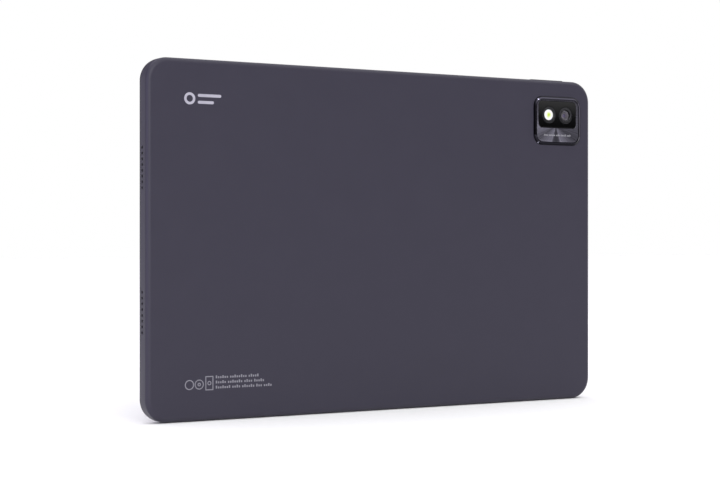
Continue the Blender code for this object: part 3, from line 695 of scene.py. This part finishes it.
SLOT_FINISHES = {
    "cover_metal": paint,
    "black_plastic": black_plastic,
    "steel": steel,
    "dark_steel": dark_steel,
    "circuit_board": circuit_board(),
    "chip_black": chip_black,
    "flex_amber": flex_amber,
    "pouch_foil": pouch_foil(),
    "phosphor": phosphor,
    "tape_foam": foam,
    "screen_film": film,
    "wire_jacket": jacket,
    "cone_film": cone_film,
}
for part in frame["record"]["subparts"]:
    if part["material_slot"] in SLOT_FINISHES:
        mesh = frame["nodes"][part["node"]].data
        mesh.materials.clear()
        mesh.materials.append(SLOT_FINISHES[part["material_slot"]])
cloth = woven_steel()
for name in ("upper", "lower"):
    frame["nodes"][f"speaker_{name}_mesh"].data.materials[0] = cloth


# ---- rear cover, front frame and glass ----


def slot_of(width, length, steps=8):
    """A slot's outline, as a function of how much it is grown."""
    return lambda grow: stadium(width + 2 * grow, length + 2 * grow, steps)


def round_of(radius, count):
    """A round opening's outline, as a function of how much it is grown."""
    return lambda grow: circle(radius + grow, count)


def hole_spots():
    """The middle of each speaker hole in the +X wall: (y, z), two rows of eight."""
    spots = []
    for name in ("upper", "lower"):
        row_y = box(f"speaker_{name}_mesh")[0].y + CLOTH_BELOW
        row_z = middle(f"speaker_{name}_mesh").z
        spots += [(row_y, row_z + (k - (HOLES - 1) / 2) * HOLE_PITCH) for k in range(HOLES)]
    return spots


def speaker_holes():
    """One flared drill for each speaker hole."""
    inner = SIDE_X - WALL - CUT_PAST
    outline_of = round_of(HOLE_R, 24)
    return [flared("X", outline_of, spot, inner, SIDE_X) for spot in hole_spots()]


def painted_shade_liners():
    """A black sleeve in each speaker hole, from just under its flare to the cloth behind the wall: painted
    shade that stands for the shade deep in the holes.
    """
    outer, inner = HOLE_R - 0.01, HOLE_R - 0.07
    front, back = SIDE_X - FLARE - 0.02, SIDE_X - WALL
    profile = [(outer, back), (outer, front), (inner, front), (inner, back)]
    sleeves = [turned("X", profile, spot, hollow=True, count=24) for spot in hole_spots()]
    new_piece("painted_shade_liners", together(*sleeves), black_plastic)


def side_openings():
    """Cutters for the ports, tray, microphone and power button in the -X wall, and the rocker on top."""
    inner = -SIDE_X + WALL + CUT_PAST
    usb, jack, tray = middle("usb_shell"), middle("headphone_jack"), middle("card_tray")
    mic, power, rocker = middle("microphone"), middle("power_button"), middle("volume_rocker")
    port_y = usb.y
    spots = [
        (slot_of(*USB_SLOT, 12), (port_y, usb.z)),
        (round_of(JACK_R, 40), (port_y, jack.z)),
        (slot_of(*TRAY_SLOT), (port_y, tray.z)),
        (round_of(MIC_R, 20), (port_y, mic.z)),
        (slot_of(*POWER_SLOT), (power.y, power.z)),
    ]
    cutters = [flared("X", outline_of, spot, inner, -SIDE_X) for outline_of, spot in spots]
    through = HEIGHT - WALL - CUT_PAST
    cutters.append(flared("Z", slot_of(*ROCKER_SLOT), (rocker.x, rocker.y), through, HEIGHT))
    return cutters


def rear_shell():
    """The painted tray: side walls rounded into a flat back, opened round the camera and the ports."""
    quarter = [math.radians(90 * k / FILLET_STEPS) for k in range(FILLET_STEPS + 1)]
    inner_quarter = quarter[:: FILLET_STEPS // 4]
    support = 0.35
    profile = [(EDGE_R + support, REAR_Y)]
    for a in reversed(quarter):
        profile.append((EDGE_R * (1 - math.cos(a)), REAR_Y - EDGE_R * (1 - math.sin(a))))
    profile.append((0, REAR_Y - EDGE_R - support))
    profile += eased([(0, 0, 0), (0, WALL_FRONT_Y, WALL_LIP_R), (WALL, WALL_FRONT_Y, 0)])[1:]
    for a in inner_quarter:
        inset = WALL + INNER_EDGE_R * (1 - math.cos(a))
        profile.append((inset, REAR_Y - BACK - INNER_EDGE_R * (1 - math.sin(a))))
    shell = new_piece("cover_shell", loft(body_rings(profile)), paint, ["rear_cover"])
    hole_inset = 0.5
    camera_hole = loft(bump_rings([(hole_inset, REAR_Y - BACK - 1), (hole_inset, REAR_Y + 1)]))
    carve(shell, camera_hole, *speaker_holes(), *side_openings())


def glass_and_frame():
    """The black frame with its ledge, notched round the front camera, and the glass's curved edge."""
    lip_top = FRONT_Y + 0.2
    foot = WALL_FRONT_Y - 0.2
    plate_inset = WALL + 0.3
    profile = [
        (FRAME_INSET, foot, 0),
        (plate_inset, foot, 0),
        (plate_inset, FRAME_STEP_Y, 0),
        (FRAME_STEP_INSET, FRAME_STEP_Y, 0),
        (FRAME_STEP_INSET, LEDGE_BACK_Y, 0),
        (LEDGE_INSET, LEDGE_BACK_Y, 0),
        (LEDGE_INSET, LEDGE_Y, 0),
        (LIP_INSET, LEDGE_Y, 0),
        (LIP_INSET, lip_top, 0.08),
        (FRAME_INSET, lip_top, 0.25),
    ]
    ring = loft(body_rings(eased(profile)), hollow=True)
    frame_ring = new_piece("frame_ring", ring, black_plastic, ["front_frame"])
    half_width, half_height = 3.2, 3.0
    notch_z = (SELFIE.z - half_height, SELFIE.z + half_height)
    carve(frame_ring, block((-half_width, half_width), (FRONT_Y + 1, -2), notch_z))
    rise = GLASS_BACK_Y - FRONT_Y - 0.2
    reach = 0.9
    steps = 10
    quarter = [math.radians(90 * k / steps) for k in range(steps + 1)]
    profile = [(GLASS_INSET + 0.1, GLASS_BACK_Y), (GLASS_INSET, GLASS_BACK_Y - 0.1)]
    for a in quarter:
        y = FRONT_Y + rise * (1 - math.sin(a))
        profile.append((GLASS_INSET + reach * (1 - math.cos(a)), y))
    profile.append((GLASS_INSET + reach + 0.4, FRONT_Y))
    new_piece("cover_glass", loft(body_rings(profile)), front_glass(), ["front_glass"])


# ---- camera bump ----


def bump_frame():
    """The polished rim, with a broad chamfer and a collar through the cover, and the spun plate in it."""
    foot = REAR_Y + 0.1
    collar_back = REAR_Y - 0.8
    profile = [
        (0.0, foot, 0),
        (0.0, REAR_Y + 0.3, 0.12),
        (BUMP_CHAMFER, BUMP_TOP_Y, 0.12),
        (BUMP_PLATEAU, BUMP_TOP_Y, 0.06),
        (BUMP_PLATEAU, foot, 0),
        (COLLAR[1], foot, 0),
        (COLLAR[1], collar_back, 0),
        (COLLAR[0], collar_back, 0),
        (COLLAR[0], foot, 0),
    ]
    ring = loft(bump_rings(eased(profile)), hollow=True)
    new_piece("bump_rim", ring, rim_metal_painted_reflection(), ["camera_rim"])
    low, high = box("camera_plate")
    profile = [
        (BUMP_PLATEAU + 0.15, low.y, 0),
        (BUMP_PLATEAU + 0.15, high.y, 0.05),
        (BUMP_PLATEAU + 0.6, high.y, 0),
    ]
    shape = loft(bump_rings(eased(profile)))
    plate = new_piece("bump_plate", shape, spun_metal_painted_highlight(), ["camera_plate"])
    cutter = [(0.15, low.y - 1), (0.15, high.y - 0.1), (0.55, high.y + 0.3)]
    carve(plate, loft([ring_on("Y", window_outline(g), (WINDOW.x, WINDOW.z), y) for g, y in cutter]))


def bump_window():
    """The black window with its softened edge, opened for the lens and the flash."""
    low, high = box("camera_window")
    profile = [(0, low.y), (0, high.y - 0.12), (-0.04, high.y - 0.04), (-0.12, high.y), (-0.4, high.y)]
    rings = [ring_on("Y", window_outline(g), (WINDOW.x, WINDOW.z), y) for g, y in profile]
    window = new_piece("bump_window", loft(rings), window_glass_painted_reflection(), ["camera_window"])
    holes = [prism("Y", circle(BEZEL_R + 0.1), (at.x, at.z), low.y - 1, high.y + 1) for at in (LENS, FLASH)]
    carve(window, *holes)


def optic_ring(name, at, bezel):
    """A stepped ring that leads in to a lens or a flash."""
    low, high = box(bezel)
    top = high.y
    profile = [
        (BEZEL_R, low.y, 0),
        (BEZEL_R, top, 0.14),
        (BEZEL_R - 0.5, top, 0.14),
        (BEZEL_R - 0.55, top - 0.14, 0.03),
        (BEZEL_R - 0.9, top - 0.15, 0.05),
        (OPTIC_R + 0.15, top - 0.3, 0.05),
        (OPTIC_R + 0.15, low.y, 0),
    ]
    ring = turned("Y", eased(profile, 2), (at.x, at.z), hollow=True, count=96)
    new_piece(name, ring, bezel_black, [bezel])


def lens_stack():
    """The clear cover, and the stepped barrel behind it, which focuses along Y."""
    low, high = box("lens_glass")
    profile = [(OPTIC_R - 0.1, low.y), (OPTIC_R, low.y + 0.08), (OPTIC_R, high.y - 0.1)]
    profile += [(OPTIC_R * s, high.y - 0.05 * s * s) for s in (0.96, 0.8, 0.6, 0.4, 0.2, 0.05)]
    cover = turned("Y", profile, (LENS.x, LENS.z))
    new_piece("lens_cover", cover, clear_glass(), ["lens_glass"])
    low, high = box("rear_camera_lens")
    top = high.y
    eye_foot, eye_rise = top - 0.62, 0.34
    profile = [
        (2.2, low.y, 0),
        (BARREL_R, low.y + 0.3, 0),
        (BARREL_R, top - 0.1, 0.08),
        (2.55, top - 0.02, 0.04),
        (2.45, top - 0.2, 0.03),
        (2.1, top - 0.22, 0.04),
        (2.0, top - 0.38, 0.03),
        (1.65, top - 0.4, 0.04),
        (1.5, eye_foot, 0.03),
        (EYE_R, eye_foot, 0),
    ]
    profile = eased(profile, 2)
    for a in (0.3, 0.6, 0.9, 1.2, 1.45):
        profile.append((EYE_R * math.cos(a), eye_foot + eye_rise * math.sin(a)))
    barrel = turned("Y", profile, (LENS.x, LENS.z))
    new_piece("lens_barrel", barrel, lens_barrel(), ["rear_camera_lens"], "focus_barrel")


def flash_cover():
    """A milky lens with shallow moulded rings about its middle."""
    low, high = box("flash_lens")
    rim_y = high.y - 0.15
    profile = [(OPTIC_R, low.y), (OPTIC_R, rim_y - 0.06), (OPTIC_R - 0.06, rim_y)]
    rings = 5
    pitch = (OPTIC_R - 0.5) / rings
    for k in range(rings):
        outer = OPTIC_R - 0.15 - k * pitch
        crown = 0.12 * (k + 1) / rings
        profile += [(outer, rim_y + crown - 0.05), (outer - pitch * 0.25, rim_y + crown)]
        profile.append((outer - pitch * 0.7, rim_y + crown + 0.02))
    profile.append((0.05, high.y))
    cover = turned("Y", profile, (FLASH.x, FLASH.z))
    new_piece("flash_cover", cover, flash_plastic(), ["flash_lens"])


# ---- buttons, ports and tray ----


def key_rings(axis, size, centre, tip, flange_top, flange_back):
    """A rounded cap down to its flange, and the flange behind it."""
    inwards = 1 if flange_top > tip else -1
    ease = 0.32
    steps = 6
    profile = [(ease + 0.2, tip)]
    for k in range(steps + 1):
        a = math.radians(90 * k / steps)
        profile.append((ease * (1 - math.sin(a)), tip + inwards * ease * (1 - math.cos(a))))
    profile += [(0, flange_top), (-FLANGE, flange_top), (-FLANGE, flange_back)]
    rings = []
    for inset, depth in profile:
        outline = stadium(size[0] - 2 * inset, size[1] - 2 * inset, 10)
        rings.append(ring_on(axis, outline, centre, depth))
    return loft(rings)


def keys():
    """The power button and the volume rocker, each with the nubs that press its switches."""
    low, high = box("power_button")
    spot = ((low.y + high.y) / 2, (low.z + high.z) / 2)
    flange = (-SIDE_X + WALL + 0.2, -SIDE_X + WALL + 0.7)
    cap = key_rings("X", (KEY_WIDTH, POWER_LENGTH), spot, low.x, *flange)
    nub = prism("X", circle(NUB_R, 24), spot, flange[1] - 0.1, high.x)
    new_piece("power_key", together(cap, nub), key_paint_painted_shade, ["power_button"], "power_key")
    low, high = box("volume_rocker")
    spot = ((low.x + high.x) / 2, (low.y + high.y) / 2)
    flange = (HEIGHT - WALL - 0.4, HEIGHT - WALL - 0.9)
    shapes = [key_rings("Z", (ROCKER_LENGTH, KEY_WIDTH), spot, high.z, *flange)]
    for side in (-ROCKER_NUB, ROCKER_NUB):
        shapes.append(prism("Z", circle(NUB_R, 24), (spot[0] + side, spot[1]), low.z, flange[1] + 0.1))
    new_piece("volume_key", together(*shapes), key_paint_painted_shade, ["volume_rocker"], "volume_key")


def charging_port():
    """A drawn metal shell with a rolled mouth, the contact tongue and its two rows of gold pads."""
    low, high = box("usb_shell")
    spot = (middle("usb_shell").y, middle("usb_shell").z)
    mouth, back = low.x, high.x
    steps = [(0, back), (0, mouth + 0.1), (0.03, mouth + 0.03), (0.1, mouth), (0.2, mouth)]
    steps += [(USB_WALL - 0.03, mouth + 0.03), (USB_WALL, mouth + 0.1), (USB_WALL, back - 0.4)]
    rings = [ring_on("X", slot_of(*USB_SIZE, 12)(-inset), spot, x) for inset, x in steps]
    new_piece("usb_socket", loft(rings), steel, ["usb_shell"])
    low, high = box("usb_tongue")
    steps = [(0.12, low.x), (0.03, low.x + 0.05), (0, low.x + 0.14), (0, high.x)]
    rings = []
    for inset, x in steps:
        outline = rounded_rect(high.y - low.y - 2 * inset, high.z - low.z - 2 * inset, 0.18, 4)
        rings.append(ring_on("X", outline, spot, x))
    new_piece("usb_blade", loft(rings), chip_black, ["usb_tongue"])
    count, pitch = 12, 0.5
    half_thick, half_wide = 0.02, 0.14
    along = (low.x + 0.5, low.x + 3.0)
    pads = []
    for row in range(count):
        z = spot[1] + (row - (count - 1) / 2) * pitch
        for y in (low.y, high.y):
            pads.append(block(along, (y - half_thick, y + half_thick), (z - half_wide, z + half_wide)))
    new_piece("usb_pads", together(*pads), gold)


def audio_socket():
    """A bright sleeve inside the mouth of the headphone jack."""
    low = box("headphone_jack")[0]
    spot = (middle("usb_shell").y, middle("headphone_jack").z)
    outer, inner = 1.74, 1.62
    mouth, back = low.x + 0.05, low.x + 2.5
    profile = [(outer, mouth, 0), (outer, back, 0), (inner, back, 0), (inner, mouth, 0.03)]
    new_piece("audio_sleeve", turned("X", eased(profile), spot, hollow=True, count=40), steel)


def card_drawer():
    """The painted head with its pin hole, and the two-bay carrier behind it."""
    low, high = box("card_tray")
    spot = (middle("card_tray").y, middle("card_tray").z)
    head_back = low.x + 1.2
    steps = [(0.3, low.x), (0.1, low.x), (0.03, low.x + 0.03), (0, low.x + 0.1), (0, head_back - 0.1)]
    steps.append((0.1, head_back))
    head_of = slot_of(high.y - low.y, high.z - low.z, 10)
    rings = [ring_on("X", head_of(-inset), spot, x) for inset, x in steps]
    drawer = new_piece("card_drawer", loft(rings), paint, ["card_tray"], "tray")
    half_y, half_z = 0.45, 6.9
    across = (spot[0] - half_y, spot[0] + half_y)
    along = (spot[1] - half_z, spot[1] + half_z)
    carve(drawer, block((head_back - 0.1, high.x), across, along), operation="UNION")
    bays = []
    for near, far, half in TRAY_BAYS:
        outline = rounded_rect(far - near, 2 * half, 0.8, 6)
        bays.append(prism("Y", outline, (low.x + (near + far) / 2, spot[1]), spot[0] - 2, spot[0] + 2))
    pin = (spot[0], spot[1] + 6.6)
    pin_r = 0.4
    steps = [(pin_r + 0.3, low.x - 0.3), (pin_r, low.x + 0.05), (pin_r, low.x + 0.9)]
    pin_hole = turned("X", steps, pin, count=24)
    carve(drawer, *bays, pin_hole)


# ---- marks: plain rings, bars and a frame, and rows of tiny blocks, with no lettering ----


def mark(x, z, width, height, radius, face_y=REAR_Y):
    """A flat mark on a face that looks along +Y, centred on (x, z)."""
    outline = rounded_rect(width, height, radius, 4)
    return prism("Y", outline, (x, z), face_y - MARK_SUNK, face_y + MARK_PROUD)


def band(x, z, radius, thick):
    """A flat ring on the rear face."""
    low, high = REAR_Y - MARK_SUNK, REAR_Y + MARK_PROUD
    profile = [(radius, low), (radius, high), (radius - thick, high), (radius - thick, low)]
    return turned("Y", profile, (x, z), hollow=True, count=48)


def print_row(x, z, words, height, face_y=REAR_Y):
    """A row of tiny upright blocks, in groups of the given counts, from its +X end."""
    width, pitch = 0.55 * height, 0.85 * height
    blocks = []
    for word, count in enumerate(words):
        for k in range(count):
            tall = height if (k + word) % 3 == 0 else 0.7 * height
            low = z - height / 2
            blocks.append(mark(x - width / 2, low + tall / 2, width, tall, 0.08 * height, face_y))
            x -= pitch
        x -= pitch * 0.6
    return blocks


def emblem():
    """A ring beside two bars, near the upper corner on the +X side."""
    left, centre_z, tall = 103.2, MID_Z + 61.75, 5.3
    shapes = [
        band(left - tall / 2, centre_z, tall / 2, 1.15),
        mark(left - tall - 6.9, centre_z + 1.5, 11.4, 1.3, 0.65),
        mark(left - tall - 5.1, centre_z - 1.5, 7.8, 1.3, 0.65),
    ]
    new_piece("emblem", together(*shapes), mark_ink)


def fine_print():
    """Two rings, an upright frame round a smaller ring, and three rows of blocks, near the lower corner."""
    left, centre_z = 100.7, MID_Z - 63.2
    shapes = [band(left - shift, centre_z, 2.2, 0.45) for shift in (0, 4.7)]
    shapes.append(band(left - 4.7, centre_z, 0.8, 0.45))
    frame_x, frame_z, line = left - 9.6, centre_z + 0.4, 0.45
    shapes += [mark(frame_x, frame_z + up, 3.9, line, 0.1) for up in (-2.9, 2.9)]
    shapes += [mark(frame_x + side, frame_z, line, 5.4, 0.1) for side in (-1.72, 1.72)]
    shapes.append(band(frame_x, frame_z, 0.95, 0.4))
    rows = ((3.0, (6, 8, 5)), (0.75, (5, 7, 4, 5)), (-1.5, (7, 4, 6, 3, 4)))
    for up, words in rows:
        shapes += print_row(left - 12.7, centre_z + up, words, 1.25)
    new_piece("fine_print", together(*shapes), print_ink)


def plate_marks():
    """A row of tiny blocks along the camera plate, under its window."""
    top = box("camera_plate")[1].y
    blocks = print_row(BUMP.x + 8.4, BUMP.z - 7.1, (3, 5, 3, 4, 3), 0.95, top)
    new_piece("plate_marks", together(*blocks), plate_ink)


rear_shell()
painted_shade_liners()
glass_and_frame()
bump_frame()
bump_window()
optic_ring("lens_ring", LENS, "lens_bezel")
optic_ring("flash_ring", FLASH, "flash_bezel")
lens_stack()
flash_cover()
keys()
charging_port()
audio_socket()
card_drawer()
emblem()
fine_print()
plate_marks()


# ---- floor, light and camera ----


ROOM_LIGHT = 2.2
VIOLET = (0.62, 0.55, 1.0)
PALE_VIOLET = (0.92, 0.88, 1.0)
CAMERA_AT = (0.4061, 0.6612, 0.0793)
CAMERA_LOOKS = (-0.5120, -0.8590, 0.0)
CAMERA_MM = 82.75


def floor():
    """Plain pale paper, a hair under the tablet."""
    mesh = bpy.data.meshes.new("floor")
    half = 6.0
    drop = -0.0002
    corners = [(-half, -half, drop), (half, -half, drop), (half, half, drop), (-half, half, drop)]
    mesh.from_pydata(corners, [], [(0, 1, 2, 3)])
    tones = ((0.90, 0.90, 0.90), (0.93, 0.93, 0.93))
    dull = {"Specular IOR Level": 0.1}
    mesh.materials.append(grainy("floor_paper", tones, (0.8, 0.9), 3.0, more=dull))
    made = bpy.data.objects.new("floor", mesh)
    bpy.context.scene.collection.objects.link(made)


def softbox(name, at, size, radiance, towards=(0, 0, MID_Z * MM), colour=(1, 1, 1), only=(), never=()):
    """A square area light, which looks as bright as its radiance from wherever it is seen.

    It lights only the pieces in only, or every piece but those in never.
    """
    data = bpy.data.lights.new(name, "AREA")
    data.shape = "SQUARE"
    data.size = size
    data.color = colour
    data.energy = radiance * math.pi * size * size
    made = bpy.data.objects.new(name, data)
    made.location = at
    made.rotation_euler = (Vector(towards) - Vector(at)).to_track_quat("-Z", "Y").to_euler()
    made.visible_camera = False
    bpy.context.scene.collection.objects.link(made)
    if only or never:
        linked = bpy.data.collections.new(f"{name}_linked")
        for piece_name in (*only, *never):
            linked.objects.link(bpy.data.objects[piece_name])
        for member in linked.collection_objects:
            member.light_linking.link_state = "INCLUDE" if only else "EXCLUDE"
        made.light_linking.receiver_collection = linked


def studio():
    """White surroundings for the camera. Reflections see a room that is bright overhead and dim around."""
    world = bpy.data.worlds.new("studio")
    bpy.context.scene.world = world
    world.use_nodes = True
    tree = world.node_tree
    seen = tree.nodes["Background"]
    seen.inputs["Color"].default_value = (1.0, 1.0, 1.0, 1.0)
    _, y, up = parts_of(tree, node(tree, "TexCoord").outputs["Generated"])
    rear_steps = ((0.0, 0.09), (0.25, 0.11), (0.6, 0.55), (0.8, 0.85), (1.0, 0.65))
    front_steps = ((0.0, 0.30), (0.18, 0.26), (0.42, 0.04), (0.6, 0.10), (0.8, 0.80), (1.0, 1.0))
    rear = ramp(tree, up, [(at, (tone, tone, tone)) for at, tone in rear_steps])
    front = ramp(tree, up, [(at, (0.92 * tone, 0.88 * tone, tone)) for at, tone in front_steps])
    turned_front = span(tree, y, -0.5, 0.0, 1.0, 0.0)
    colour = blend(tree, "MIX", turned_front, rear, front)
    room = node(tree, "Background", {"Color": colour, "Strength": ROOM_LIGHT})
    mixed = node(tree, "MixShader", {0: node(tree, "LightPath").outputs["Is Camera Ray"]})
    feed(tree, mixed.inputs[1], room.outputs[0])
    feed(tree, mixed.inputs[2], seen.outputs[0])
    feed(tree, tree.nodes["World Output"].inputs["Surface"], mixed.outputs[0])
    bpy.context.scene.view_settings.view_transform = "Standard"


def camera():
    """A level view of the rear from the +X side, with a short telephoto lens."""
    data = bpy.data.cameras.new("camera")
    data.sensor_width = 36.0
    data.lens = CAMERA_MM
    made = bpy.data.objects.new("camera", data)
    made.location = CAMERA_AT
    made.rotation_euler = Vector(CAMERA_LOOKS).to_track_quat("-Z", "Y").to_euler()
    bpy.context.scene.collection.objects.link(made)
    bpy.context.scene.camera = made


floor()
softbox("key", at=(1.5, 3.0, 1.3), size=2.4, radiance=4.05, never=["bump_rim"])
softbox("edge", at=(1.3, 0.2, 0.12), size=0.8, radiance=2.6, colour=VIOLET)
softbox("side", at=(-1.1, 0.0, 0.2), size=0.5, radiance=1.5, colour=PALE_VIOLET)
rim_only = {"towards": BUMP * MM, "only": ["bump_rim"]}
softbox("upper_glint", at=(-0.180, 0.710, 0.974), size=0.12, radiance=30.0, **rim_only)
softbox("lower_glint", at=(-0.100, 0.101, 0.014), size=0.02, radiance=70.0, **rim_only)
studio()
camera()
